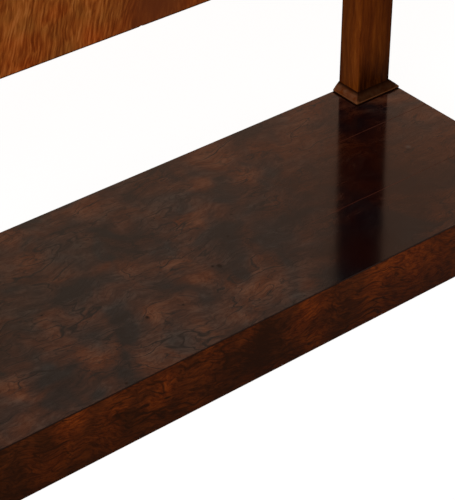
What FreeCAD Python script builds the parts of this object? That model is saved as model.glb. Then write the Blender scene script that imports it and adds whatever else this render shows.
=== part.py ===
"""Pier table: a veneered plinth platform that carries two square front pillars and two flat rear
pilasters, which hold up a veneered frieze and a veneered top.

X runs along the length, Y from the front (negative) to the wall (positive) and Z up. The origin is on
the floor, under the middle of the box that holds the whole table. All lengths are in millimetres.
"""
import FreeCAD, Part
import os

# The whole table
platform_length = 1320.0
platform_depth = 463.0
plinth_height = 115.0
shelf_opening_height = 601.0
frieze_height = 125.0
top_thickness = 26.0
top_overhang = 12.0

# Veneers: saw-cut sheets, eased along the arris, and laid in leaves on the frieze
veneer_thickness = 1.2
veneer_arris_radius = 0.6
frieze_leaf_count = 6
frieze_end_leaf_count = 2
frieze_chip_width = 7.0
frieze_chip_height = 1.1
frieze_chip_leaf = 2

# Shrinkage cracks: shallow grooves that follow the joints of the platform's boards from the right end
crack_width = 1.6
crack_depth = 0.35
back_crack_length = 420.0
front_crack_length = 370.0

# Carcass boards of the plinth, and the three boards of its platform
plinth_board_thickness = 24.0
platform_board_thickness = 22.0
platform_front_board_width = 156.0
platform_middle_board_width = 163.0
bearer_width = 45.0
bearer_height = 60.0
bearer_place_share = 0.17
housing_depth = 6.0

# Dovetails at the corners of the plinth and the frieze
dovetail_lap = 6.0
dovetail_pitch = 30.0
dovetail_neck_share = 0.5
dovetail_slope_share = 0.16

# Rubbed glue blocks
glue_block_side = 24.0
glue_block_length = 70.0
glue_block_place_shares = (-0.33, 0.0, 0.33)

# Pillars, pilasters and their turned tenons
pillar_side = 78.0
pilaster_width = 78.0
pilaster_depth = 53.0
shaft_arris_radius = 1.0
tenon_diameter = 20.0
tenon_length = 45.0
tenon_clearance = 0.15
tenon_end_gap = 1.0

# Base and cap mouldings: a quirk, a splay with a slight round, a flat fillet and an undercut
moulding_projection = 14.5
moulding_height = 17.0
moulding_fillet = 2.6
moulding_undercut = 1.4
moulding_quirk = 0.8
moulding_bulge = 0.3

# Rails of the frieze
frieze_rail_thickness = 26.0
cross_rail_width = 60.0
cross_rail_height = 40.0
cross_rail_place_share = 0.17

# Boards and edging of the top
top_front_board_width = 146.0
top_middle_board_width = 155.0
edging_width = 30.0
edging_upper_radius = 9.0
edging_lower_radius = 4.0

# Screws that hold the top to the cross rails
screw_shank_diameter = 5.0
screw_head_diameter = 9.5
screw_head_height = 3.0
screw_slot_width = 1.4
screw_slot_depth = 1.5
screw_bite = 16.0
screw_counterbore_diameter = 12.0
screw_counterbore_depth = 14.0
screw_place_share = 0.3

# Room past a face for every cut
overrun = 2.0

# Places that follow from the sizes above
half_length = platform_length / 2
back_y = (platform_depth + top_overhang) / 2
front_y = back_y - platform_depth
platform_z = plinth_height
plinth_frame_z = plinth_height - veneer_thickness - platform_board_thickness
frieze_z = platform_z + shelf_opening_height
top_z = frieze_z + frieze_height
table_z = top_z + top_thickness
carcass_half_length = half_length - veneer_thickness
carcass_front_y = front_y + veneer_thickness
tenon_radius = tenon_diameter / 2
bore_radius = tenon_radius + tenon_clearance


def point(x, y, z):
    return FreeCAD.Vector(x, y, z)


def block(x0, x1, y0, y1, z0, z1):
    """A box between two values on each axis."""
    return Part.makeBox(x1 - x0, y1 - y0, z1 - z0, point(x0, y0, z0))


def prism(corners, direction):
    """A flat polygon pushed along a direction."""
    return Part.Face(Part.makePolygon(corners + corners[:1])).extrude(direction)


def cylinder(radius, height, base):
    return Part.makeCylinder(radius, height, base, point(0, 0, 1))


def joined(solids):
    """One solid from several that meet, without the seams between them."""
    return solids[0].multiFuse(solids[1:]).removeSplitter()


def bulged_arc(start, end, bulge):
    """An arc from start to end whose middle stands off the chord, to the right of its run, by bulge.
    The two points lie in the YZ plane, seen with Y to the right and Z up."""
    chord = end.sub(start)
    side = point(0, chord.z, -chord.y)
    side.normalize()
    middle = start.add(end).multiply(1 / 2).add(side.multiply(bulge))
    return Part.Arc(start, middle, end).toShape()


def straight(start, end):
    return Part.LineSegment(start, end).toShape()


# Supports: each has a side (-1 left, 1 right), a width, and its shaft's front and back in Y

class Support:
    def __init__(self, name, side, rear):
        self.name = name
        self.side = side
        self.rear = rear
        width = pilaster_width if rear else pillar_side
        depth = pilaster_depth if rear else pillar_side
        outer = half_length - moulding_projection
        self.x0, self.x1 = sorted((side * outer, side * (outer - width)))
        self.y0 = back_y - depth if rear else front_y + moulding_projection
        self.y1 = self.y0 + depth

    def tenon_centre(self):
        return (self.x0 + self.x1) / 2, (self.y0 + self.y1) / 2

    def footprint(self):
        """The rectangle that the mouldings cover: no moulding goes behind a rear pilaster."""
        y1 = self.y1 if self.rear else self.y1 + moulding_projection
        return (self.x0 - moulding_projection, self.x1 + moulding_projection,
                self.y0 - moulding_projection, y1)

    def bores(self):
        """Room for the lower and the upper tenon."""
        x, y = self.tenon_centre()
        depth = tenon_length + tenon_end_gap
        return [cylinder(bore_radius, depth, point(x, y, platform_z - depth)),
                cylinder(bore_radius, depth, point(x, y, frieze_z))]


SUPPORTS = [Support("front_left_pillar", -1, False), Support("front_right_pillar", 1, False),
            Support("rear_left_pilaster", -1, True), Support("rear_right_pilaster", 1, True)]
ALL_BORES = [bore for support in SUPPORTS for bore in support.bores()]


def shaft(support):
    """A shaft with eased upright arrises and a turned tenon at each end."""
    body = block(support.x0, support.x1, support.y0, support.y1, platform_z, frieze_z)
    upright = [e for e in body.Edges if e.BoundBox.ZLength > shelf_opening_height / 2]
    body = body.makeFillet(shaft_arris_radius, upright)
    x, y = support.tenon_centre()
    lower = cylinder(tenon_radius, tenon_length, point(x, y, platform_z - tenon_length))
    upper = cylinder(tenon_radius, tenon_length, point(x, y, frieze_z))
    return joined([body, lower, upper])


# Mouldings

def moulding_section():
    """The moulding's profile in the YZ plane: it stands on Z 0 against a shaft's face at Y 0, and reaches
    outwards along Y."""
    inner_foot = point(0, 0, 0)
    outer_foot = point(0, moulding_projection - moulding_undercut, 0)
    fillet_foot = point(0, moulding_projection, moulding_undercut)
    fillet_top = point(0, moulding_projection, moulding_undercut + moulding_fillet)
    splay_top = point(0, moulding_quirk, moulding_height)
    inner_top = point(0, 0, moulding_height)
    return Part.Face(Part.Wire([
        straight(inner_foot, outer_foot),
        straight(outer_foot, fillet_foot),
        straight(fillet_foot, fillet_top),
        bulged_arc(fillet_top, splay_top, moulding_bulge),
        straight(splay_top, inner_top),
        straight(inner_top, inner_foot),
    ]))


def edging_section():
    """The edging's profile in the YZ plane: from the core at Y 0 out to a rounded nose."""
    upper = edging_upper_radius
    lower = edging_lower_radius
    bow = 1 - 2 ** 0.5 / 2
    foot = point(0, edging_width - lower, 0)
    nose_low = point(0, edging_width, lower)
    nose_high = point(0, edging_width, top_thickness - upper)
    head = point(0, edging_width - upper, top_thickness)
    low_middle = point(0, edging_width - lower * bow, lower * bow)
    high_middle = point(0, edging_width - upper * bow, top_thickness - upper * bow)
    return Part.Face(Part.Wire([
        straight(point(0, 0, 0), foot),
        Part.Arc(foot, low_middle, nose_low).toShape(),
        straight(nose_low, nose_high),
        Part.Arc(nose_high, high_middle, head).toShape(),
        straight(head, point(0, 0, top_thickness)),
        straight(point(0, 0, top_thickness), point(0, 0, 0)),
    ]))


def mitred_strip(section, reach, height, start, end, mitres):
    """A strip of a section along the line from start to end, standing off to the right of that line.
    mitres says for each end whether it is cut at 45 degrees, to meet a strip round the corner."""
    run = end.sub(start)
    length = run.Length
    along = point(run.x, run.y, 0).normalize()
    grow = [reach if mitred else 0 for mitred in mitres]
    strip = section.extrude(point(length + grow[0] + grow[1], 0, 0))
    strip.translate(point(-grow[0], 0, 0))
    plan = [point(0, 0, 0), point(length, 0, 0),
            point(length + grow[1], reach, 0), point(-grow[0], reach, 0)]
    strip = strip.common(prism(plan, point(0, 0, height)))
    # The strip is made along X with its face towards +Y: turn it so that this face lies to the right
    strip = strip.mirror(point(0, 0, 0), point(0, 1, 0))
    turn = FreeCAD.Rotation(point(1, 0, 0), along)
    return strip.transformed(FreeCAD.Placement(start, turn).toMatrix()).Solids[0]


def mouldings_round(support):
    """Base mouldings round a shaft's foot, mitred where two meet."""
    corners = {
        "back_left": point(support.x0, support.y1, platform_z),
        "front_left": point(support.x0, support.y0, platform_z),
        "front_right": point(support.x1, support.y0, platform_z),
        "back_right": point(support.x1, support.y1, platform_z),
    }
    behind = not support.rear
    runs = [("back_left", "front_left", (behind, True)), ("front_left", "front_right", (True, True)),
            ("front_right", "back_right", (True, behind))]
    if behind:
        runs.append(("back_right", "back_left", (True, True)))
    section = moulding_section()
    return [mitred_strip(section, moulding_projection, moulding_height, corners[start], corners[end], mitres)
            for start, end, mitres in runs]


def upside_down(solids):
    """The same mouldings under the frieze, turned over about the middle of the shaft's height."""
    middle = (platform_z + frieze_z) / 2
    return [solid.mirror(point(0, 0, middle), point(0, 0, 1)) for solid in solids]


# Carcass frames of the plinth and of the frieze

def dovetails(x0, x1, y_neck, y_tip, z0, z1):
    """A row of tails that spread from their necks to their tips."""
    count = max(1, round((z1 - z0) / dovetail_pitch))
    pitch = (z1 - z0) / count
    neck = pitch * dovetail_neck_share / 2
    tip = neck + abs(y_tip - y_neck) * dovetail_slope_share
    tails = []
    for i in range(count):
        z = z0 + pitch * (i + 1 / 2)
        corners = [point(x0, y_neck, z - neck), point(x0, y_tip, z - tip),
                   point(x0, y_tip, z + tip), point(x0, y_neck, z + neck)]
        tails.append(prism(corners, point(x1 - x0, 0, 0)))
    return tails


def frame(thickness, z0, z1):
    """Front, back, left and right boards, lap-dovetailed in front and through-dovetailed behind."""
    inner_front = carcass_front_y + thickness
    inner_back = back_y - thickness
    ends = {}
    for name, side in (("left", -1), ("right", 1)):
        x0, x1 = sorted((side * carcass_half_length, side * (carcass_half_length - thickness)))
        body = block(x0, x1, inner_front, inner_back, z0, z1)
        front_tails = dovetails(x0, x1, inner_front, carcass_front_y + dovetail_lap, z0, z1)
        back_tails = dovetails(x0, x1, inner_back, back_y, z0, z1)
        ends[name] = joined([body] + front_tails + back_tails)
    front = block(-carcass_half_length, carcass_half_length, carcass_front_y, inner_front, z0, z1)
    back = block(-carcass_half_length, carcass_half_length, inner_back, back_y, z0, z1)
    removed = list(ends.values()) + ALL_BORES
    return {"front": front.cut(removed), "back": back.cut(removed), **ends}


def housed_bars(thickness, width, z0, z1, place_share):
    """Two bars from front to back, whose ends stand in housings in the front and back boards."""
    y0 = carcass_front_y + thickness - housing_depth
    y1 = back_y - thickness + housing_depth
    bars = []
    for side in (-1, 1):
        x = side * place_share * platform_length
        bars.append(block(x - width / 2, x + width / 2, y0, y1, z0, z1))
    return bars


def corner_blocks(thickness, z0, z1):
    """A block in each corner, as wide as the mouldings, that takes the tenon of its support."""
    blocks = []
    for support in SUPPORTS:
        x0, x1, y0, y1 = support.footprint()
        inner_end = carcass_half_length - thickness
        x0, x1 = (-inner_end, x1) if support.side < 0 else (x0, inner_end)
        y0, y1 = (y0, back_y - thickness) if support.rear else (carcass_front_y + thickness, y1)
        blocks.append(block(x0, x1, y0, y1, z0, z1).cut(ALL_BORES))
    return blocks


def glue_blocks(thickness, z1):
    """Short blocks rubbed into the angle under the boards, along the front and the back."""
    blocks = []
    for share in glue_block_place_shares:
        x = share * platform_length
        for y0 in (carcass_front_y + thickness, back_y - thickness - glue_block_side):
            blocks.append(block(x - glue_block_length / 2, x + glue_block_length / 2,
                                y0, y0 + glue_block_side, z1 - glue_block_side, z1))
    return blocks


def edge_jointed_boards(x_half, y0, widths, z0, z1):
    """Front, middle and back boards, the last as wide as what is left."""
    joints = [y0, y0 + widths[0], y0 + widths[0] + widths[1], back_y]
    return [block(-x_half, x_half, a, b, z0, z1) for a, b in zip(joints, joints[1:])]


# Plinth and platform

def plinth():
    boards = frame(plinth_board_thickness, 0, plinth_frame_z)
    bearers = housed_bars(plinth_board_thickness, bearer_width, plinth_frame_z - bearer_height,
                          plinth_frame_z, bearer_place_share)
    return {
        "plinth_front_board": [boards["front"].cut(bearers)],
        "plinth_back_board": [boards["back"].cut(bearers)],
        "plinth_left_end_board": [boards["left"]],
        "plinth_right_end_board": [boards["right"]],
        "plinth_cross_bearers": bearers,
        "plinth_corner_blocks": corner_blocks(plinth_board_thickness, 0, plinth_frame_z),
        "plinth_glue_blocks": glue_blocks(plinth_board_thickness, plinth_frame_z),
    }


def platform():
    boards = edge_jointed_boards(carcass_half_length, carcass_front_y,
                                 (platform_front_board_width, platform_middle_board_width),
                                 plinth_frame_z, platform_z - veneer_thickness)
    front, middle, back = [board.cut(ALL_BORES) for board in boards]
    return {
        "platform_front_board": [front],
        "platform_middle_board": [middle],
        "platform_back_board": [back],
        "platform_veneer": [platform_veneer()],
    }


def crack(y, length):
    """A shallow groove along X from the right end, which runs out to nothing."""
    left = half_length - length
    mouth = [point(left, y, platform_z),
             point(half_length + overrun, y - crack_width / 2, platform_z),
             point(half_length + overrun, y + crack_width / 2, platform_z)]
    root = point(half_length + overrun, y, platform_z - crack_depth)
    faces = [mouth, [mouth[0], mouth[1], root], [mouth[0], mouth[2], root], [mouth[1], mouth[2], root]]
    shell = Part.makeShell([Part.Face(Part.makePolygon(f + f[:1])) for f in faces])
    return Part.makeSolid(shell)


def platform_veneer():
    """The platform's own sheet, eased along its front and ends, and cracked over the board joints."""
    sheet = block(-half_length, half_length, front_y, back_y, platform_z - veneer_thickness, platform_z)
    arrises = [e for e in sheet.Edges if on_top(e, platform_z) and not behind_all(e)]
    sheet = sheet.makeFillet(veneer_arris_radius, arrises)
    front_joint = carcass_front_y + platform_front_board_width
    back_joint = front_joint + platform_middle_board_width
    cracks = [crack(front_joint, front_crack_length), crack(back_joint, back_crack_length)]
    return sheet.cut(ALL_BORES + cracks)


def on_top(edge, z):
    return edge.BoundBox.ZMin > z - veneer_thickness / 2


def behind_all(edge):
    return edge.BoundBox.YMin > back_y - veneer_thickness


def end_sheets(count, z0, z1):
    """Leaves of veneer on the left and the right end, side by side from the front veneer to the back."""
    step = (back_y - carcass_front_y) / count
    joints = [carcass_front_y + step * i for i in range(count + 1)]
    return [[block(x0, x0 + veneer_thickness, y0, y1, z0, z1) for y0, y1 in zip(joints, joints[1:])]
            for x0 in (-half_length, carcass_half_length)]


def plinth_veneers():
    z1 = platform_z - veneer_thickness
    left, right = end_sheets(1, 0, z1)
    return {
        "plinth_front_veneer": [block(-half_length, half_length, front_y, carcass_front_y, 0, z1)],
        "plinth_left_end_veneer": left,
        "plinth_right_end_veneer": right,
    }


# Frieze

def frieze():
    rails = frame(frieze_rail_thickness, frieze_z, top_z)
    bars = housed_bars(frieze_rail_thickness, cross_rail_width, top_z - cross_rail_height, top_z,
                       cross_rail_place_share)
    left, right = end_sheets(frieze_end_leaf_count, frieze_z, top_z)
    return {
        "frieze_front_rail": [rails["front"].cut(bars)],
        "frieze_back_rail": [rails["back"].cut(bars)],
        "frieze_left_end_rail": [rails["left"]],
        "frieze_right_end_rail": [rails["right"]],
        "frieze_cross_rails": [bar.cut(screw_holes()) for bar in bars],
        "frieze_corner_blocks": corner_blocks(frieze_rail_thickness, frieze_z, top_z),
        "frieze_glue_blocks": glue_blocks(frieze_rail_thickness, top_z),
        "frieze_front_veneer": frieze_leaves(),
        "frieze_left_end_veneer": left,
        "frieze_right_end_veneer": right,
    }


def frieze_leaves():
    """Upright leaves of veneer along the front. One joint has lost a chip at the lower edge."""
    step = platform_length / frieze_leaf_count
    chip_x = -half_length + step * frieze_chip_leaf
    chip = prism([point(chip_x - frieze_chip_width / 2, front_y - overrun, frieze_z),
                  point(chip_x, front_y - overrun, frieze_z + frieze_chip_height),
                  point(chip_x + frieze_chip_width / 2, front_y - overrun, frieze_z)],
                 point(0, overrun + veneer_thickness + overrun, 0))
    leaves = []
    for i in range(frieze_leaf_count):
        x0 = -half_length + step * i
        leaf = block(x0, x0 + step, front_y, carcass_front_y, frieze_z, top_z)
        leaves.append(leaf.cut(chip) if i + 1 in (frieze_chip_leaf, frieze_chip_leaf + 1) else leaf)
    return leaves


# Top

def screw_places():
    """Two screws in each cross rail."""
    middle_y = (carcass_front_y + back_y) / 2
    x = cross_rail_place_share * platform_length
    y = screw_place_share * platform_depth
    return [(side_x * x, middle_y + side_y * y) for side_x in (-1, 1) for side_y in (-1, 1)]


def screw_head_z():
    return top_z - cross_rail_height + screw_counterbore_depth


def screw_holes():
    """Counterbored holes for the screws, from under the cross rails up into the top."""
    holes = []
    below = top_z - cross_rail_height - overrun
    for x, y in screw_places():
        counterbore = cylinder(screw_counterbore_diameter / 2, screw_head_z() - below, point(x, y, below))
        holes.append(joined([counterbore, screw_shank(x, y)]))
    return holes


def screw_shank(x, y):
    reach = top_z + screw_bite - screw_head_z()
    return cylinder(screw_shank_diameter / 2, reach, point(x, y, screw_head_z()))


def screws():
    """Wood screws with a round head under the rail and a slot across it."""
    made = []
    foot = screw_head_z() - screw_head_height
    for x, y in screw_places():
        head = cylinder(screw_head_diameter / 2, screw_head_height, point(x, y, foot))
        slot = block(x - screw_head_diameter, x + screw_head_diameter,
                     y - screw_slot_width / 2, y + screw_slot_width / 2,
                     foot - overrun, foot + screw_slot_depth)
        made.append(joined([head, screw_shank(x, y)]).cut(slot))
    return made


def top():
    core_half_length = half_length + top_overhang - edging_width
    core_front_y = front_y - top_overhang + edging_width
    boards = edge_jointed_boards(core_half_length, core_front_y,
                                 (top_front_board_width, top_middle_board_width),
                                 top_z, table_z - veneer_thickness)
    front, middle, back = [board.cut(screw_holes()) for board in boards]
    left_front = point(-core_half_length, core_front_y, top_z)
    right_front = point(core_half_length, core_front_y, top_z)
    left_back = point(-core_half_length, back_y, top_z)
    right_back = point(core_half_length, back_y, top_z)
    section = edging_section()

    def edging(start, end, mitres):
        return [mitred_strip(section, edging_width, top_thickness, start, end, mitres)]

    return {
        "top_front_board": [front],
        "top_middle_board": [middle],
        "top_back_board": [back],
        "top_veneer": [block(-core_half_length, core_half_length, core_front_y, back_y,
                             table_z - veneer_thickness, table_z)],
        "top_front_edging": edging(left_front, right_front, (True, True)),
        "top_left_edging": edging(left_back, left_front, (False, True)),
        "top_right_edging": edging(right_front, right_back, (True, False)),
        "top_screws": screws(),
    }


def supports():
    nodes = {}
    for support in SUPPORTS:
        base = mouldings_round(support)
        nodes[support.name] = [shaft(support)]
        nodes[support.name + "_base_moulding"] = base
        nodes[support.name + "_cap_moulding"] = upside_down(base)
    return nodes


def main():
    os.makedirs("parts", exist_ok=True)
    nodes = {}
    for group in (plinth(), platform(), plinth_veneers(), supports(), frieze(), top()):
        nodes.update(group)
    for name, solids in nodes.items():
        shape = solids[0] if len(solids) == 1 else Part.makeCompound(solids)
        if not shape.isValid():
            print("not valid:", name)
        shape.exportStep(os.path.join("parts", name + ".step"))
    print(len(nodes), "nodes,", sum(len(solids) for solids in nodes.values()), "pieces")


main()
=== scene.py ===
import math

import bpy
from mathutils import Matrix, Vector


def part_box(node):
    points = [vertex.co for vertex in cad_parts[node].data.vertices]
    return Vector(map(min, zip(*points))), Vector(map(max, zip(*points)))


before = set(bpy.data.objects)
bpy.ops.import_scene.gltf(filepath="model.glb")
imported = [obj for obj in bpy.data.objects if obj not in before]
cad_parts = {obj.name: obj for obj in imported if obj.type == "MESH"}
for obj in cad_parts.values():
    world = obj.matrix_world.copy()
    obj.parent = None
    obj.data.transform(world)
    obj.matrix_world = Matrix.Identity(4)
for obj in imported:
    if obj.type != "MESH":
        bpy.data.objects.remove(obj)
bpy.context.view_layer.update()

# Places on the table that the figure of the wood is set out from, in metres
PLATFORM_LOW, PLATFORM_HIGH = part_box("platform_veneer")
FRONT_Y = PLATFORM_LOW[1]
RIGHT_X = PLATFORM_HIGH[0]
PLATFORM_Z = PLATFORM_HIGH[2]
FRIEZE_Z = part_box("frieze_front_veneer")[0][2]
HALF_OPENING = (FRIEZE_Z - PLATFORM_Z) / 2
FEET = [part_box(node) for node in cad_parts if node.endswith("base_moulding")]
MM = 0.001

# Old wax that lies in corners, and painted shade in recesses and on faces turned from the light; wood
# that is rubbed light along an edge, and a painted highlight along it; and dust on a ledge, which on the
# side strips of the feet also paints light
WAX_AND_SHADE_DARK = "#170802"
WORN_AND_HIGHLIGHT = "#8c5a36"
DUST_AND_LIGHT = "#8a7058"

# The numbers by which a Mix node's sockets go, because their names repeat for each kind of data
FIRST, SECOND = 6, 7
COLOUR_MIX = {"data_type": "RGBA", "out": 2}
FIRST_VECTOR, SECOND_VECTOR = 4, 5
VECTOR_MIX = {"data_type": "VECTOR", "out": 1}


def colour(code):
    """A written sRGB hex colour as linear red, green, blue and alpha."""
    parts = [int(code[i:i + 2], 16) / 255 for i in (1, 3, 5)]
    return [p / 12.92 if p <= 0.04045 else ((p + 0.055) / 1.055) ** 2.4 for p in parts] + [1.0]


def per_mm(size):
    """The texture scale, per metre, at which one feature is about this many millimetres across."""
    return 1000 / size


def add(tree, kind, links=None, stops=None, out=0, **settings):
    """Adds a node: links maps an input to a socket or a value, stops are a ramp's places and colours, and
    the rest are the node's own settings. Returns the output that out names or numbers. A MapRange node's
    inputs are 0, the value, 1 and 2, the range that it comes from, and 3 and 4, the range that it goes to."""
    node = tree.nodes.new("ShaderNode" + kind)
    for name, value in settings.items():
        setattr(node, name, value)
    for key, value in (links or {}).items():
        if isinstance(value, bpy.types.NodeSocket):
            tree.links.new(value, node.inputs[key])
        else:
            node.inputs[key].default_value = value
    if stops:
        elements = node.color_ramp.elements
        while len(elements) < len(stops):
            elements.new(1.0)
        for element, (place, code) in zip(elements, stops):
            element.position = place
            element.color = colour(code)
    return node.outputs[out] if node.outputs else None


def begin_finish(name):
    """A new material and its tree, still empty."""
    material = bpy.data.materials.new(name)
    material.use_nodes = True
    material.node_tree.nodes.clear()
    return material, material.node_tree


def wandering(tree, place, moves):
    """The place, pushed about by noise: moves are pairs of a feature size and a reach, in millimetres."""
    for size, reach in moves:
        noise = add(tree, "TexNoise", {"Vector": place, "Scale": per_mm(size), "Detail": 2.0}, out="Color")
        centred = add(tree, "VectorMath", {0: noise, 1: (0.5, 0.5, 0.5)}, operation="SUBTRACT")
        push = add(tree, "VectorMath", {0: centred, "Scale": reach * MM}, operation="SCALE")
        place = add(tree, "VectorMath", {0: place, 1: push}, operation="ADD")
    return place


def weighed(tree, parts):
    """The sum of several patterns, each times its weight."""
    total = 0.0
    for pattern, weight in parts:
        total = add(tree, "Math", {0: pattern, 1: weight, 2: total}, operation="MULTIPLY_ADD")
    return total


def spots(tree, place, table):
    """The sum of soft round patches: a row is a centre in metres, a radius in millimetres and a strength."""
    total = 0.0
    for centre, radius, strength in table:
        away = add(tree, "VectorMath", {0: place, 1: centre}, operation="DISTANCE", out="Value")
        patch = add(tree, "MapRange", {0: away, 1: 0.0, 2: radius * MM, 3: strength, 4: 0.0},
                    interpolation_type="SMOOTHSTEP")
        total = add(tree, "Math", {0: patch, 1: total}, operation="ADD")
    return total


def away_from(tree, place, box):
    """How far a place is from the nearest point of a box, in metres, and 0 inside it."""
    low, high = Vector(box[0]), Vector(box[1])
    off_centre = add(tree, "VectorMath", {0: place, 1: (low + high) / 2}, operation="SUBTRACT")
    off_centre = add(tree, "VectorMath", {0: off_centre}, operation="ABSOLUTE")
    outside = add(tree, "VectorMath", {0: off_centre, 1: (high - low) / 2}, operation="SUBTRACT")
    outside = add(tree, "VectorMath", {0: outside}, operation="MAXIMUM")
    return add(tree, "VectorMath", {0: outside}, operation="LENGTH", out="Value")


def above_ends(tree, place):
    """How far a place on a support is from the platform or the frieze, whichever is nearer, in metres."""
    z = add(tree, "SeparateXYZ", {0: place}, out="Z")
    from_middle = add(tree, "Math", {0: z, 1: PLATFORM_Z + HALF_OPENING}, operation="SUBTRACT")
    from_middle = add(tree, "Math", {0: from_middle}, operation="ABSOLUTE")
    return add(tree, "Math", {0: HALF_OPENING, 1: from_middle}, operation="SUBTRACT")


# Where the figure, the marks and the painted reflections lie, in millimetres from the right end, and from
# the front or up from the lower edge

def on_platform(from_right, from_front):
    return (RIGHT_X - from_right * MM, FRONT_Y + from_front * MM, PLATFORM_Z)


def on_plinth(from_right, up):
    return (RIGHT_X - from_right * MM, FRONT_Y, up * MM)


def on_frieze(from_right, up):
    return (RIGHT_X - from_right * MM, FRONT_Y, FRIEZE_Z + up * MM)


def rows(place, table):
    """Patches from rows of two place numbers, a radius and a strength."""
    return [(place(a, b), radius, strength) for a, b, radius, strength in table]


PLATFORM_CLOUDS = rows(on_platform, [
    (700, 310, 85, 0.56), (860, 255, 60, 0.49), (560, 205, 70, 0.64), (612, 130, 50, 0.52),
    (720, 165, 45, 0.52), (990, 60, 75, 0.6), (435, 185, 45, 0.52), (365, 270, 30, 0.52),
    (285, 40, 80, 0.52), (235, 95, 55, 0.38), (840, 140, 28, 1.0), (850, 112, 24, 1.2),
    (862, 85, 24, 1.0), (885, 58, 24, 0.9), (910, 35, 28, 0.75), (752, 398, 28, 0.38),
    (722, 362, 36, 0.45), (655, 378, 28, 0.45), (620, 412, 28, 0.52), (520, 120, 60, 0.45),
    (270, 190, 330, 0.8), (400, 40, 140, 1.0), (140, 345, 110, 0.9), (1080, 250, 110, 0.52),
    (500, 20, 50, 0.6), (330, 430, 110, 0.45),
])
PLATFORM_BLUSHES = rows(on_platform, [
    (430, 425, 70, 1.2), (350, 400, 45, 0.8), (498, 370, 35, 1.4), (420, 335, 45, 1.3), (575, 290, 42, 1.4),
    (745, 252, 38, 0.9), (670, 208, 36, 0.9), (660, 162, 30, 0.9), (915, 85, 42, 1.0), (775, 118, 40, 0.9),
    (606, 72, 55, 0.8), (540, 35, 36, 0.8), (850, 310, 34, 0.7), (852, 365, 48, 0.7), (855, 428, 36, 0.9),
    (645, 385, 30, 0.7), (685, 52, 45, 0.8), (760, 40, 50, 0.4), (1054, 100, 42, 0.9), (85, 190, 50, 0.5),
    (40, 300, 45, 0.5), (540, 320, 40, 0.9), (50, 378, 45, 0.5), (210, 200, 340, 0.6), (30, 250, 220, 0.6),
    (260, 390, 200, 0.8), (700, 435, 45, 1.2), (900, 370, 55, 1.2), (800, 432, 45, 0.9),
])
# Plainer, darker wood towards the right end; the patch by the front edge is a painted reflection that deepens
# the rear pilaster's dark reflection in the polish
PLATFORM_PLAIN_AND_REFLECTION = rows(on_platform, [(215, 215, 280, 0.78), (415, 35, 120, 0.75)])
PLATFORM_BRUISE = rows(on_platform, [(130, 231, 8, 0.8)])
PLATFORM_PITS = rows(on_platform, [
    (624, 157, 7, 1.8), (633, 163, 5, 1.2), (800, 120, 6, 1.4), (735, 110, 4, 1.0), (922, 8, 5, 1.0),
    (928, 228, 4, 1.0), (560, 215, 4, 0.9), (515, 262, 4, 0.9), (137, 224, 7, 0.5), (141, 236, 6, 0.4),
])
PLINTH_CLOUDS = rows(on_plinth, [
    (770, 85, 60, 0.36), (700, 60, 70, 0.7), (660, 30, 60, 0.7), (740, 25, 50, 0.36), (1135, 60, 90, 0.5),
    (1075, 75, 40, 0.29), (835, 22, 40, 0.36), (945, 58, 50, 0.5), (650, 85, 60, 0.9), (640, 30, 60, 0.36),
    (550, 58, 36, 0.5), (490, 40, 60, 0.14), (950, 60, 420, 0.14),
])
PLINTH_BLUSHES = rows(on_plinth, [
    (1020, 98, 50, 0.65), (945, 95, 50, 0.72), (860, 98, 45, 0.58), (1010, 22, 40, 0.58), (855, 52, 40, 0.65),
    (560, 90, 45, 0.65), (555, 20, 36, 1.1), (420, 90, 60, 0.86), (345, 85, 60, 0.86), (420, 35, 70, 0.65),
    (970, 45, 50, 0.43), (810, 15, 25, 0.58),
])
# On the frieze, dark patches of wood, which over its right part also paint a darker reflection
FRIEZE_CLOUDS_AND_REFLECTION = rows(on_frieze, [
    (862, 25, 80, 0.85), (805, 15, 70, 0.45), (850, 90, 80, 0.4), (300, 60, 120, 0.6),
])
FRIEZE_BLUSHES = rows(on_frieze, [(800, 8, 40, 0.8), (960, 8, 30, 0.8), (1075, 5, 35, 0.7)])

# The boards whose rear joint shows as a crack in the veneer, and how far from the right end the crack gapes
# most, in metres
CRACKS = (("platform_front_board", 0.28), ("platform_middle_board", 0.18))


# How polished and waxed walnut shine: the polish mirrors what is round it, and the wax has only a faint,
# warm sheen
POLISHED = {"IOR": 1.52, "Specular IOR Level": 0.171}
WAXED = {"IOR": 1.52, "Specular IOR Level": 0.012, "Specular Tint": colour("#ffa05a"), "Roughness": 0.32}


# Burr walnut: saw-cut veneer of root and burr wood. Clouds of dark heartwood drift through red-brown wood,
# fine curls and growth lines turn round small eyes, and ink-dark veins wander between them. French polish,
# shellac rubbed to a mirror with a pad, lays an amber film over it that shows the surroundings. Wax leaves
# it dull.

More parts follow.
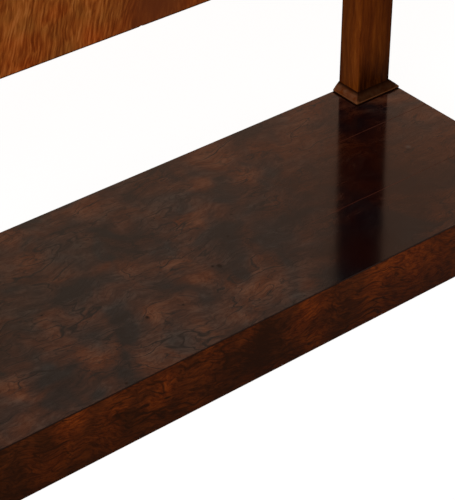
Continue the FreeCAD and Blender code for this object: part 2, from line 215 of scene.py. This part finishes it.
def burr_walnut(name, seed, heart, rust, clouds, blushes, marks, mottle, streaks, lean, stretch, warp,
                roughness, shine):
    """A figure that starts from seed, in the colours heart, of dark wood, and rust, of red, with more of
    each where clouds and blushes lie. marks adds what age has left, with some painted shade and a painted
    reflection. The mottle is in millimetres, streaks is how much the fibres show, lean and stretch are the
    run of the grain, and warp is how far the panel tips, in millimetres a metre."""
    material, tree = begin_finish(name)
    place = add(tree, "TexCoord", out="Object")
    shifted = add(tree, "VectorMath", {0: place, 1: seed}, operation="ADD")
    drift = wandering(tree, shifted, [(160, 90), (50, 24)])
    flow = wandering(tree, drift, [(16, 6)])
    along = add(tree, "Mapping", {"Vector": drift, "Rotation": lean, "Scale": stretch}, vector_type="TEXTURE")
    cloud = add(tree, "TexNoise", {"Vector": drift, "Scale": per_mm(110), "Detail": 3.0, "Roughness": 0.55})
    blotch = add(tree, "TexNoise", {"Vector": along, "Scale": per_mm(mottle), "Detail": 2.5,
                                    "Roughness": 0.5})
    hue = add(tree, "TexNoise", {"Vector": drift, "Scale": per_mm(64), "Detail": 1.5, "Distortion": 0.5})
    curl = add(tree, "TexNoise", {"Vector": flow, "Scale": per_mm(30), "Detail": 6.0, "Roughness": 0.65,
                                  "Distortion": 1.4})
    # Real fibres are a small part of a millimetre wide, too fine to show, so they are drawn at 3.5 mm
    fibre = add(tree, "TexNoise", {"Vector": along, "Scale": per_mm(3.5), "Detail": 3.0, "Roughness": 0.7})

    # How light the wood is, and how red
    soft_place = wandering(tree, place, [(60, 46), (20, 18), (7, 8)])
    dark = spots(tree, soft_place, clouds)
    blush = spots(tree, soft_place, blushes)
    streak = add(tree, "MapRange", {0: fibre, 1: 0.30, 2: 0.56, 3: -0.385, 4: 0.115})
    tone = weighed(tree, [(cloud, 0.36), (blotch, 0.54), (curl, 0.35), (streak, streaks), (dark, -0.26),
                          (blush, 0.12)])
    tone = add(tree, "MapRange", {0: tone, 1: 0.33, 2: 0.87})
    warm = weighed(tree, [(hue, 1.15), (blotch, 0.12), (dark, -0.24), (blush, 0.34)])
    warm = add(tree, "MapRange", {0: warm, 1: 0.415, 2: 0.995})
    dark_wood = add(tree, "ValToRGB", {0: tone}, stops=heart)
    red_wood = add(tree, "ValToRGB", {0: tone}, stops=rust)
    wood = add(tree, "Mix", {0: warm, FIRST: dark_wood, SECOND: red_wood}, **COLOUR_MIX)

    # Growth lines, fine and close, and ink veins: level lines of slow noises, shown here and there
    shown = add(tree, "TexNoise", {"Vector": shifted, "Scale": per_mm(120)})
    shown = add(tree, "MapRange", {0: shown, 1: 0.32, 2: 0.50})
    swirl = add(tree, "TexNoise", {"Vector": along, "Scale": per_mm(60), "Detail": 2.0})
    growth = add(tree, "Math", {0: swirl, 1: 190.0}, operation="MULTIPLY")
    growth = add(tree, "Math", {0: growth}, operation="SINE")
    growth = add(tree, "MapRange", {0: growth, 1: 0.5, 2: 1.0, 3: 0.0, 4: 0.3})
    ink = add(tree, "Math", {0: growth, 1: shown}, operation="MULTIPLY")
    for spacing, width, depth in ((60, 0.012, 0.95), (28, 0.016, 0.75)):
        field = add(tree, "TexNoise", {"Vector": along, "Scale": per_mm(spacing), "Detail": 2.5})
        off_line = add(tree, "Math", {0: field, 1: 0.5}, operation="SUBTRACT")
        off_line = add(tree, "Math", {0: off_line}, operation="ABSOLUTE")
        vein = add(tree, "MapRange", {0: off_line, 1: 0.0, 2: width, 3: depth, 4: 0.0})
        ink = add(tree, "Math", {0: vein, 1: shown, 2: ink}, operation="MULTIPLY_ADD")

    # Eyes: dark pips of a millimetre or two, in the middle of some of the curls
    eyes = {"Vector": flow, "Scale": per_mm(34)}
    eye = add(tree, "MapRange", {0: add(tree, "TexVoronoi", eyes), 1: 0.03, 2: 0.09, 3: 0.6, 4: 0.0})
    chosen = add(tree, "TexVoronoi", eyes, out="Color")
    chosen = add(tree, "Math", {0: chosen, 1: 0.64}, operation="GREATER_THAN")
    ink = add(tree, "Math", {0: eye, 1: chosen, 2: ink}, operation="MULTIPLY_ADD", use_clamp=True)
    wood = add(tree, "Mix", {0: ink, FIRST: wood, SECOND: colour(heart[0][1])}, **COLOUR_MIX)
    wood, overlay = marks(tree, place, wood)

    # Heights in millimetres: fibres, the hollows of hand planing, and how far the panel tips along its length
    swell = add(tree, "TexNoise", {"Vector": place, "Scale": per_mm(45), "Detail": 1.0})
    x = add(tree, "SeparateXYZ", {0: place}, out="X")
    bump = add(tree, "Bump", {"Height": weighed(tree, [(fibre, 0.0024), (swell, 0.08), (x, warp)]),
                              "Strength": 1.0, "Distance": MM})
    rubbed = add(tree, "MapRange", {0: cloud, 1: 0.3, 2: 0.7, 3: roughness * 0.85, 4: roughness * 1.2})
    surface = add(tree, "BsdfPrincipled", {**shine, **overlay, "Base Color": wood, "Roughness": rubbed,
                                           "Normal": bump})
    add(tree, "OutputMaterial", {"Surface": surface})
    return material


def platform_marks(tree, place, wood):
    """Plainer, darker wood towards the right end, with a painted reflection of the rear pilaster by the front
    edge, wood bared along two shrinkage cracks, a bruise, a dark, dull edge all round, old waxing and a
    painted contact shadow against the feet of the supports, and pits where small knots have dropped out.
    Gives the wood, and the colour of the polish, which is more amber towards the right end, a painted warmth
    in the reflection there, and gone where the surface is dull."""
    # Plainer, darker wood, and by the front edge a painted reflection of the rear pilaster
    plain_and_reflection = spots(tree, wandering(tree, place, [(60, 46)]), PLATFORM_PLAIN_AND_REFLECTION)
    wood = add(tree, "Mix", {0: plain_and_reflection, FIRST: wood, SECOND: colour("#1c0502")}, **COLOUR_MIX)
    x = add(tree, "SeparateXYZ", {0: place}, out="X")
    y = add(tree, "SeparateXYZ", {0: wandering(tree, place, [(30, 2)])}, out="Y")
    for board, from_right in CRACKS:
        off_joint = add(tree, "Math", {0: y, 1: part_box(board)[1][1]}, operation="SUBTRACT")
        off_joint = add(tree, "Math", {0: off_joint}, operation="ABSOLUTE")
        bared = add(tree, "MapRange", {0: off_joint, 1: 0.4 * MM, 2: 1.2 * MM, 3: 0.7, 4: 0.0})
        off_middle = add(tree, "Math", {0: x, 1: RIGHT_X - from_right}, operation="SUBTRACT")
        off_middle = add(tree, "Math", {0: off_middle}, operation="ABSOLUTE")
        run_out = add(tree, "MapRange", {0: off_middle, 1: 0.06, 2: 0.20, 3: 1.0, 4: 0.1})
        bared = add(tree, "Math", {0: bared, 1: run_out}, operation="MULTIPLY")
        wood = add(tree, "Mix", {0: bared, FIRST: wood, SECOND: colour("#4c241b")}, **COLOUR_MIX)
    bruise = spots(tree, place, PLATFORM_BRUISE)
    wood = add(tree, "Mix", {0: bruise, FIRST: wood, SECOND: colour("#4a413d")}, **COLOUR_MIX)
    upward = add(tree, "SeparateXYZ", {0: add(tree, "NewGeometry", out="True Normal")}, out="Z")
    dull = add(tree, "MapRange", {0: upward, 1: 0.75, 2: 0.95, 3: 0.95, 4: 0.0})
    # Painted contact shadow, with old wax, in a line round the foot of each support
    for foot in FEET:
        off_foot = away_from(tree, place, foot)
        foot_shadow_and_wax = add(tree, "MapRange", {0: off_foot, 1: 2.0 * MM, 2: 3.6 * MM, 3: 0.95, 4: 0.0})
        dull = add(tree, "Math", {0: dull, 1: foot_shadow_and_wax}, operation="MAXIMUM")
    pits = spots(tree, wandering(tree, place, [(8, 4)]), PLATFORM_PITS)
    dull = add(tree, "Math", {0: dull, 1: pits}, operation="MAXIMUM")
    wood = add(tree, "Mix", {0: dull, FIRST: wood, SECOND: colour(WAX_AND_SHADE_DARK)}, **COLOUR_MIX)
    # Painted reflection: the polish is tinted more amber towards the right end, for the warmer reflection
    # there
    warmer_reflection = add(tree, "MapRange", {0: x, 1: RIGHT_X - 0.85, 2: RIGHT_X - 0.2})
    polish = add(tree, "Mix", {0: warmer_reflection, FIRST: colour("#f3dabb"), SECOND: colour("#ffbd87")}, **COLOUR_MIX)
    polish = add(tree, "Mix", {0: dull, FIRST: polish, SECOND: colour("#000000")}, **COLOUR_MIX)
    return wood, {"Specular Tint": polish}


def plinth_marks(tree, place, wood):
    """Darker down to the foot, partly painted shade near the floor and partly old waxing, and a dark line in
    the joint under the platform's edge.
    """
    z = add(tree, "SeparateXYZ", {0: place}, out="Z")
    # Painted shade, with some old wax, darkening the facing down to the foot
    foot = add(tree, "MapRange", {0: z, 1: 0.0, 2: 0.10, 3: 0.6, 4: 0.0})
    joint = add(tree, "MapRange", {0: z, 1: PLATFORM_Z - 3.4 * MM, 2: PLATFORM_Z - 2.2 * MM, 3: 0.0, 4: 0.85})
    darkened = add(tree, "Math", {0: foot, 1: joint}, operation="MAXIMUM")
    return add(tree, "Mix", {0: darkened, FIRST: wood, SECOND: colour(WAX_AND_SHADE_DARK)}, **COLOUR_MIX), {}


# Curly walnut: veneer cut across a waved grain and laid with the grain upright, so that light and dark
# ripples stand side by side. Waxed, with a low sheen.

BROWN_CURL = [(0.0, "#46230a"), (0.35, "#673714"), (0.65, "#845020"), (1.0, "#a66e3a")]
RED_CURL = [(0.0, "#521c06"), (0.35, "#74300c"), (0.65, "#924718"), (1.0, "#b06432")]


def curly_walnut():
    material, tree = begin_finish("curly_walnut_veneer")
    place = add(tree, "TexCoord", out="Object")
    flow = wandering(tree, place, [(90, 24), (24, 4)])
    leaning = add(tree, "Mapping", {"Vector": flow, "Rotation": (0.0, math.radians(-10), 0.0)})
    upright = add(tree, "Mapping", {"Vector": leaning, "Scale": (1.0, 1.0, 0.11)})
    ripple = add(tree, "TexNoise", {"Vector": upright, "Scale": per_mm(3.6), "Detail": 1.5, "Roughness": 0.5})
    ripple = add(tree, "MapRange", {0: ripple, 1: 0.34, 2: 0.66})
    hue = add(tree, "TexNoise", {"Vector": flow, "Scale": per_mm(34), "Detail": 2.0})
    growth = add(tree, "TexNoise", {"Vector": upright, "Scale": per_mm(60), "Detail": 3.0})
    # Real pores are about 0.2 mm wide, too fine to show, so they are drawn at 1.6 mm
    pore_place = add(tree, "Mapping", {"Vector": leaning, "Scale": (1.0, 1.0, 0.07)})
    pore = add(tree, "TexNoise", {"Vector": pore_place, "Scale": per_mm(1.6), "Detail": 2.0})

    soft_place = wandering(tree, place, [(60, 40)])
    # Dark patches: darker wood, and over the right part of the frieze's face a painted reflection
    dark = spots(tree, soft_place, FRIEZE_CLOUDS_AND_REFLECTION)
    blush = spots(tree, soft_place, FRIEZE_BLUSHES)
    tone = weighed(tree, [(ripple, 0.24), (growth, 0.40), (pore, 0.22)])
    tone = add(tree, "MapRange", {0: tone, 1: 0.19, 2: 0.71})
    warm = weighed(tree, [(hue, 1.0), (blush, 0.5)])
    warm = add(tree, "MapRange", {0: warm, 1: 0.22, 2: 0.92})
    brown = add(tree, "ValToRGB", {0: tone}, stops=BROWN_CURL)
    red = add(tree, "ValToRGB", {0: tone}, stops=RED_CURL)
    wood = add(tree, "Mix", {0: warm, FIRST: brown, SECOND: red}, **COLOUR_MIX)
    wood = add(tree, "Mix", {0: dark, FIRST: wood, SECOND: colour("#5a2c15")}, **COLOUR_MIX)
    z = add(tree, "SeparateXYZ", {0: place}, out="Z")
    edge = add(tree, "MapRange", {0: z, 1: FRIEZE_Z + 1.0 * MM, 2: FRIEZE_Z + 2.2 * MM, 3: 0.75, 4: 0.0})
    wood = add(tree, "Mix", {0: edge, FIRST: wood, SECOND: colour(WAX_AND_SHADE_DARK)}, **COLOUR_MIX)
    bump = add(tree, "Bump", {"Height": ripple, "Strength": 0.04, "Distance": MM})
    surface = add(tree, "BsdfPrincipled", {**WAXED, "Base Color": wood, "Normal": bump})
    add(tree, "OutputMaterial", {"Surface": surface})
    return material


# Straight-grained walnut, planed, scraped and waxed: close brown lines along the wood with short dark pores.

WALNUT = [(0.0, "#3a1705"), (0.45, "#602c0c"), (0.75, "#783c10"), (1.0, "#90501a")]
RUBBED_WALNUT = [(0.0, "#401a05"), (0.45, "#6a310d"), (0.75, "#844312"), (1.0, "#9e591d")]
GRAIN_DRIFT = [(150, 25), (25, 3)]
WALNUT_RUN = 0.06
LENGTHWISE_WALNUT = (WALNUT_RUN, 1.0, 1.0)
CROSSWISE_WALNUT = (1.0, WALNUT_RUN, 1.0)
UPRIGHT_WALNUT = (1.0, 1.0, WALNUT_RUN)


def straight_grain(tree, along):
    """Close lines, broad bands of growth and short pores in one figure from 0, dark, to 1, light. Real pores
    are about 0.2 mm wide, too fine to show, so they are drawn at 1.2 mm."""
    line = add(tree, "TexNoise", {"Vector": along, "Scale": per_mm(7), "Detail": 4.0, "Roughness": 0.6})
    pore = add(tree, "TexNoise", {"Vector": along, "Scale": per_mm(1.2), "Detail": 2.0})
    broad = add(tree, "TexNoise", {"Vector": along, "Scale": per_mm(40), "Detail": 2.0})
    figure = weighed(tree, [(line, 0.6), (broad, 0.6), (pore, 0.2)])
    return add(tree, "MapRange", {0: figure, 1: 0.45, 2: 0.95})


def straight_walnut(name, stretch):
    material, tree = begin_finish(name)
    flow = wandering(tree, add(tree, "TexCoord", out="Object"), GRAIN_DRIFT)
    figure = straight_grain(tree, add(tree, "Mapping", {"Vector": flow, "Scale": stretch}))
    wood = add(tree, "ValToRGB", {0: figure}, stops=WALNUT)
    surface = add(tree, "BsdfPrincipled", {**WAXED, "Base Color": wood})
    add(tree, "OutputMaterial", {"Surface": surface})
    return material


def shaft_walnut():
    """Upright walnut, lighter round the inner arris in front and darker away from it, darkest towards the
    ends of the front face in painted shade, with a line of old waxing along each arris."""
    material, tree = begin_finish("straight_walnut_upright")
    place = add(tree, "TexCoord", out="Object")
    shifted = add(tree, "VectorMath", {0: place, 1: (17 * MM, 0.0, 0.0)}, operation="ADD")
    flow = wandering(tree, shifted, GRAIN_DRIFT)
    figure = straight_grain(tree, add(tree, "Mapping", {"Vector": flow, "Scale": UPRIGHT_WALNUT}))
    wood = add(tree, "ValToRGB", {0: figure}, stops=RUBBED_WALNUT)

    # Painted shade, with some old wax, near the ends: more of it on the front face and where the grain is
    # dark
    facing = add(tree, "VectorMath", {0: add(tree, "NewGeometry", out="True Normal")}, operation="ABSOLUTE")
    in_front = add(tree, "SeparateXYZ", {0: facing}, out="Y")
    near_end = add(tree, "MapRange", {0: above_ends(tree, place), 1: 0.0, 2: 0.14, 3: 1.0, 4: 0.0},
                   interpolation_type="SMOOTHSTEP")
    for pattern, least, most in ((in_front, 0.3, 1.0), (figure, 1.25, 0.6)):
        share = add(tree, "MapRange", {0: pattern, 3: least, 4: most})
        near_end = add(tree, "Math", {0: near_end, 1: share}, operation="MULTIPLY")

    # Across the shaft, from -0.5 to 0.5 of its width and depth, and away from the inner arris in front
    across = add(tree, "TexCoord", out="Generated")
    across = add(tree, "VectorMath", {0: across, 1: (0.5, 0.5, 0.5)}, operation="SUBTRACT")
    across_x = add(tree, "SeparateXYZ", {0: across}, out="X")
    across_y = add(tree, "SeparateXYZ", {0: across}, out="Y")
    side = add(tree, "Math", {0: add(tree, "SeparateXYZ", {0: place}, out="X")}, operation="SIGN")
    outward = add(tree, "Math", {0: across_x, 1: side}, operation="MULTIPLY")
    from_inner_arris = add(tree, "Math", {0: outward, 1: across_y}, operation="MAXIMUM")
    darker_away = add(tree, "MapRange", {0: from_inner_arris, 1: -0.5, 2: 0.5, 3: 0.0, 4: 0.5})
    wood = add(tree, "Mix", {0: darker_away, FIRST: wood, SECOND: colour(WAX_AND_SHADE_DARK)}, **COLOUR_MIX)

    off_x = add(tree, "Math", {0: across_x}, operation="ABSOLUTE")
    off_y = add(tree, "Math", {0: across_y}, operation="ABSOLUTE")
    near_arris = add(tree, "Math", {0: off_x, 1: off_y}, operation="MINIMUM")
    near_arris = add(tree, "MapRange", {0: near_arris, 1: 0.455, 2: 0.490})
    depth = add(tree, "MapRange", {0: from_inner_arris, 1: -0.5, 2: 0.5, 3: 0.15, 4: 0.75})
    near_arris = add(tree, "Math", {0: near_arris, 1: depth}, operation="MULTIPLY")
    darkened = add(tree, "Math", {0: near_end, 1: near_arris}, operation="MAXIMUM")
    wood = add(tree, "Mix", {0: darkened, FIRST: wood, SECOND: colour(WAX_AND_SHADE_DARK)}, **COLOUR_MIX)
    surface = add(tree, "BsdfPrincipled", {**WAXED, "Base Color": wood})
    add(tree, "OutputMaterial", {"Surface": surface})
    return material


def moulding_walnut():
    """Short strips with the grain along each: painted shade over the front strip and in the undercut and the
    quirk, patches of dust, on the side strips also painted light, and a painted highlight, with some wear,
    along the fillet and at the corners of the feet."""
    material, tree = begin_finish("straight_walnut_moulding")
    place = add(tree, "TexCoord", out="Object")
    flow = wandering(tree, place, GRAIN_DRIFT)
    facing = add(tree, "VectorMath", {0: add(tree, "NewGeometry", out="True Normal")}, operation="ABSOLUTE")
    on_side = add(tree, "SeparateXYZ", {0: facing}, out="X")
    on_side = add(tree, "Math", {0: on_side, 1: 0.35}, operation="GREATER_THAN")
    lengthwise = add(tree, "Mapping", {"Vector": flow, "Scale": LENGTHWISE_WALNUT})
    crosswise = add(tree, "Mapping", {"Vector": flow, "Scale": CROSSWISE_WALNUT})
    along = add(tree, "Mix", {0: on_side, FIRST_VECTOR: lengthwise, SECOND_VECTOR: crosswise}, **VECTOR_MIX)
    wood = add(tree, "ValToRGB", {0: straight_grain(tree, along)}, stops=WALNUT)
    # Painted shade: the front strip darker than the side strips
    overlay = add(tree, "MapRange", {0: on_side, 3: 0.88, 4: 0.2})
    wood = add(tree, "Mix", {0: overlay, FIRST: wood, SECOND: colour(WAX_AND_SHADE_DARK)}, **COLOUR_MIX)

    # Dust in patches, laid thicker on the side strips, where it is also painted light
    patchy = add(tree, "TexNoise", {"Vector": place, "Scale": per_mm(13), "Detail": 4.0, "Roughness": 0.65})
    patchy = add(tree, "MapRange", {0: patchy, 1: 0.36, 2: 0.66, 3: 0.1, 4: 2.0})
    dust_and_side_light = add(tree, "MapRange", {0: on_side, 3: 0.045, 4: 0.14})
    dust_and_light = add(tree, "Math", {0: patchy, 1: dust_and_side_light}, operation="MULTIPLY")
    wood = add(tree, "Mix", {0: dust_and_light, FIRST: wood, SECOND: colour(DUST_AND_LIGHT)}, **COLOUR_MIX)

    # Heights up the profile: the undercut and the fillet by the platform, and the quirk by the shaft
    height = above_ends(tree, place)
    # Painted highlight, with some wear, along the upper edge of the fillet and at the corners of the feet
    on_fillet = add(tree, "MapRange", {0: height, 1: 3.8 * MM, 2: 4.6 * MM, 3: 0.5, 4: 0.0})
    corners = [((x, low[1], low[2] + 3 * MM), 10, 0.6) for low, high in FEET for x in (low[0], high[0])]
    highlight_and_wear = add(tree, "Math", {0: on_fillet, 1: spots(tree, place, corners)}, operation="MAXIMUM")
    wood = add(tree, "Mix", {0: highlight_and_wear, FIRST: wood, SECOND: colour(WORN_AND_HIGHLIGHT)}, **COLOUR_MIX)
    # Painted shade in the undercut under the fillet and in the quirk where the moulding meets the shaft
    in_undercut = add(tree, "MapRange", {0: height, 1: 2.2 * MM, 2: 2.8 * MM, 3: 0.95, 4: 0.0})
    in_quirk = add(tree, "MapRange", {0: height, 1: 11.5 * MM, 2: 16.0 * MM, 3: 0.0, 4: 0.9})
    darkened = add(tree, "Math", {0: in_undercut, 1: in_quirk}, operation="MAXIMUM")
    wood = add(tree, "Mix", {0: darkened, FIRST: wood, SECOND: colour(WAX_AND_SHADE_DARK)}, **COLOUR_MIX)
    surface = add(tree, "BsdfPrincipled", {**WAXED, "Base Color": wood})
    add(tree, "OutputMaterial", {"Surface": surface})
    return material


# Old pine, sawn and planed by hand and left bare: yellow-brown earlywood between darker latewood lines.

PINE = [(0.0, "#573820"), (0.35, "#835a34"), (0.7, "#936a40"), (1.0, "#a98354")]
PINE_RUN = 0.04


def bare_pine(name, stretch):
    """Broad bands, growth rings and fibres. Real fibres are too fine to show, so they are drawn at 1.5 mm."""
    material, tree = begin_finish(name)
    flow = wandering(tree, add(tree, "TexCoord", out="Object"), [(300, 16), (40, 2)])
    along = add(tree, "Mapping", {"Vector": flow, "Scale": stretch})
    band = add(tree, "TexNoise", {"Vector": along, "Scale": per_mm(40), "Detail": 2.0})
    ring = add(tree, "TexNoise", {"Vector": along, "Scale": per_mm(6), "Detail": 2.0})
    fibre = add(tree, "TexNoise", {"Vector": along, "Scale": per_mm(1.5), "Detail": 3.0})
    figure = weighed(tree, [(band, 0.4), (ring, 0.8), (fibre, 0.35)])
    figure = add(tree, "MapRange", {0: figure, 1: 0.5, 2: 1.05})
    wood = add(tree, "ValToRGB", {0: figure}, stops=PINE)
    bump = add(tree, "Bump", {"Height": figure, "Strength": 0.2, "Distance": MM})
    surface = add(tree, "BsdfPrincipled", {"Base Color": wood, "Roughness": 0.7, "Normal": bump})
    add(tree, "OutputMaterial", {"Surface": surface})
    return material


# Iron of hand-cut wood screws, dull, with patches of brown rust a few millimetres across.

BROWNED_IRON = [(0.35, "#3a332e"), (0.7, "#5a3a26")]


def screw_iron():
    material, tree = begin_finish("browned_iron")
    rust = {"Vector": add(tree, "TexCoord", out="Object"), "Scale": per_mm(2.5), "Detail": 4.0}
    metal = add(tree, "ValToRGB", {0: add(tree, "TexNoise", rust)}, stops=BROWNED_IRON)
    surface = add(tree, "BsdfPrincipled", {"Base Color": metal, "Roughness": 0.55, "Metallic": 0.9})
    add(tree, "OutputMaterial", {"Surface": surface})
    return material


platform_finish = burr_walnut(
    "french_polished_burr_walnut", seed=(0.0, 0.0, 0.0),
    heart=[(0.0, "#050b12"), (0.5, "#171b1f"), (1.0, "#3b3a39")],
    rust=[(0.0, "#240804"), (0.5, "#4d2411"), (1.0, "#65412f")],
    clouds=PLATFORM_CLOUDS, blushes=PLATFORM_BLUSHES, marks=platform_marks, mottle=16, streaks=0.42,
    lean=(0.0, 0.0, 0.0), stretch=(3.5, 1.0, 1.0), warp=12.0, roughness=0.11, shine=POLISHED)
plinth_finish = burr_walnut(
    "waxed_burr_walnut_facing", seed=(0.31, 0.12, 0.05),
    heart=[(0.0, "#291307"), (0.5, "#3f1e0c"), (1.0, "#552910")],
    rust=[(0.0, "#3f1907"), (0.5, "#5b270d"), (1.0, "#7a3a13")],
    clouds=PLINTH_CLOUDS, blushes=PLINTH_BLUSHES, marks=plinth_marks, mottle=9, streaks=0.85,
    lean=(0.0, math.radians(14), 0.0), stretch=(4.0, 4.0, 1.0), warp=0.0, roughness=0.3, shine=WAXED)
frieze_finish = curly_walnut()
shaft_finish = shaft_walnut()
moulding_finish = moulding_walnut()
length_finish = straight_walnut("straight_walnut_lengthwise", LENGTHWISE_WALNUT)
depth_finish = straight_walnut("straight_walnut_crosswise", CROSSWISE_WALNUT)
length_pine = bare_pine("bare_pine_lengthwise", (PINE_RUN, 1.0, 1.0))
depth_pine = bare_pine("bare_pine_crosswise", (1.0, PINE_RUN, 1.0))
upright_pine = bare_pine("bare_pine_upright", (1.0, 1.0, PINE_RUN))
iron_finish = screw_iron()


def finish_for(node):
    """The finish of each piece of the table, by its name."""
    if node in ("platform_veneer", "top_veneer"):
        return platform_finish
    if node.startswith("plinth") and node.endswith("veneer"):
        return plinth_finish
    if node.startswith("frieze") and node.endswith("veneer"):
        return frieze_finish
    if node.endswith(("pillar", "pilaster")):
        return shaft_finish
    if node.endswith("moulding"):
        return moulding_finish
    if node == "top_front_edging":
        return length_finish
    if node.endswith("edging"):
        return depth_finish
    if node == "top_screws":
        return iron_finish
    if "end_" in node or "cross" in node:
        return depth_pine
    if "corner" in node:
        return upright_pine
    return length_pine


for node_name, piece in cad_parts.items():
    piece.data.materials.clear()
    piece.data.materials.append(finish_for(node_name))


# Studio: a plain pale floor, one soft light from the upper left and a pale surround

FLOOR_HALF = 15.0
FLOOR_GLOW = 0.94       # nearly white to the camera, and the rest is left for the light, so that shadows show
FLOOR_SHADED = "#686868"
FLOOR_BOUNCE = "#959595"
WHITE = "#ffffff"
CREAM = "#ffdcc2"
ROOM_STRENGTH = 0.42


def background_rays(tree):
    """1 for the rays that show the background: from the camera, off polish and metal, and through glass."""
    shown = add(tree, "LightPath", out="Is Camera Ray")
    for ray in ("Is Glossy Ray", "Is Transmission Ray"):
        shown = add(tree, "Math", {0: shown, 1: add(tree, "LightPath", out=ray)}, operation="MAXIMUM")
    return shown


def studio_floor():
    """A floor that looks white with the table's shadow on it, and throws only a little light back."""
    material, tree = begin_finish("pale_studio_floor")
    glow = add(tree, "Emission", {"Color": colour(WHITE), "Strength": FLOOR_GLOW})
    shaded = add(tree, "BsdfDiffuse", {"Color": colour(FLOOR_SHADED)})
    shown = add(tree, "AddShader", {0: shaded, 1: glow})
    unseen = add(tree, "BsdfDiffuse", {"Color": colour(FLOOR_BOUNCE)})
    surface = add(tree, "MixShader", {0: background_rays(tree), 1: unseen, 2: shown})
    add(tree, "OutputMaterial", {"Surface": surface})
    mesh = bpy.data.meshes.new("studio_floor")
    corners = [(x * FLOOR_HALF, y * FLOOR_HALF, 0) for x, y in ((-1, -1), (1, -1), (1, 1), (-1, 1))]
    mesh.from_pydata(corners, [], [(0, 1, 2, 3)])
    mesh.materials.append(material)
    floor = bpy.data.objects.new("studio_floor", mesh)
    bpy.context.scene.collection.objects.link(floor)


def studio_surround():
    """White round the horizon and warm cream overhead, which is what the polish mirrors."""
    world = bpy.data.worlds.new("studio_surround")
    bpy.context.scene.world = world
    world.use_nodes = True
    tree = world.node_tree
    tree.nodes.clear()
    height = add(tree, "SeparateXYZ", {0: add(tree, "TexCoord", out="Generated")}, out="Z")
    overhead = add(tree, "MapRange", {0: height, 1: 0.08, 2: 0.22})
    backdrop = add(tree, "Mix", {0: overhead, FIRST: colour(WHITE), SECOND: colour(CREAM)}, **COLOUR_MIX)
    shown = add(tree, "Background", {"Color": backdrop, "Strength": 1.0})
    room = add(tree, "Background", {"Color": colour(CREAM), "Strength": ROOM_STRENGTH})
    surround = add(tree, "MixShader", {0: background_rays(tree), 1: room, 2: shown})
    add(tree, "OutputWorld", {"Surface": surround})


def softbox(name, place, aim, side, power):
    """A square light, side metres across and power watts strong. The polish doesn't mirror it."""
    lamp = bpy.data.lights.new(name, "AREA")
    lamp.shape = "SQUARE"
    lamp.size = side
    lamp.energy = power
    box = bpy.data.objects.new(name, lamp)
    box.location = place
    box.rotation_euler = (Vector(aim) - Vector(place)).to_track_quat("-Z", "Y").to_euler()
    box.visible_glossy = False
    bpy.context.scene.collection.objects.link(box)


# What the photograph's straight edges give: the focal length in pixels of a picture this high, how far the
# camera is to the left of the platform's front right corner, before it and above the floor, in metres, and
# how far it is turned down and to the right, in degrees
PHOTO_HIGH = 500
FOCAL_LENGTH = 1857.76
CAMERA_LEFT, CAMERA_BEFORE, CAMERA_ABOVE = 2.15806, 1.78608, 1.91547
CAMERA_DOWN, CAMERA_TURN = 35.54, 38.60
SENSOR_MM = 36.0


def photo_camera():
    camera = bpy.data.cameras.new("photo_camera")
    camera.sensor_width = SENSOR_MM
    camera.lens = SENSOR_MM * FOCAL_LENGTH / PHOTO_HIGH
    camera.clip_end = 100
    eye = bpy.data.objects.new("photo_camera", camera)
    eye.location = (RIGHT_X - CAMERA_LEFT, FRONT_Y - CAMERA_BEFORE, CAMERA_ABOVE)
    eye.rotation_euler = (math.radians(90 - CAMERA_DOWN), 0, math.radians(-CAMERA_TURN))
    bpy.context.scene.collection.objects.link(eye)
    bpy.context.scene.camera = eye


studio_floor()
studio_surround()
softbox("key_softbox", place=(-3.0, -2.4, 2.6), aim=(0, 0, 0.4), side=2.2, power=140)
photo_camera()
bpy.context.scene.view_settings.view_transform = "Standard"
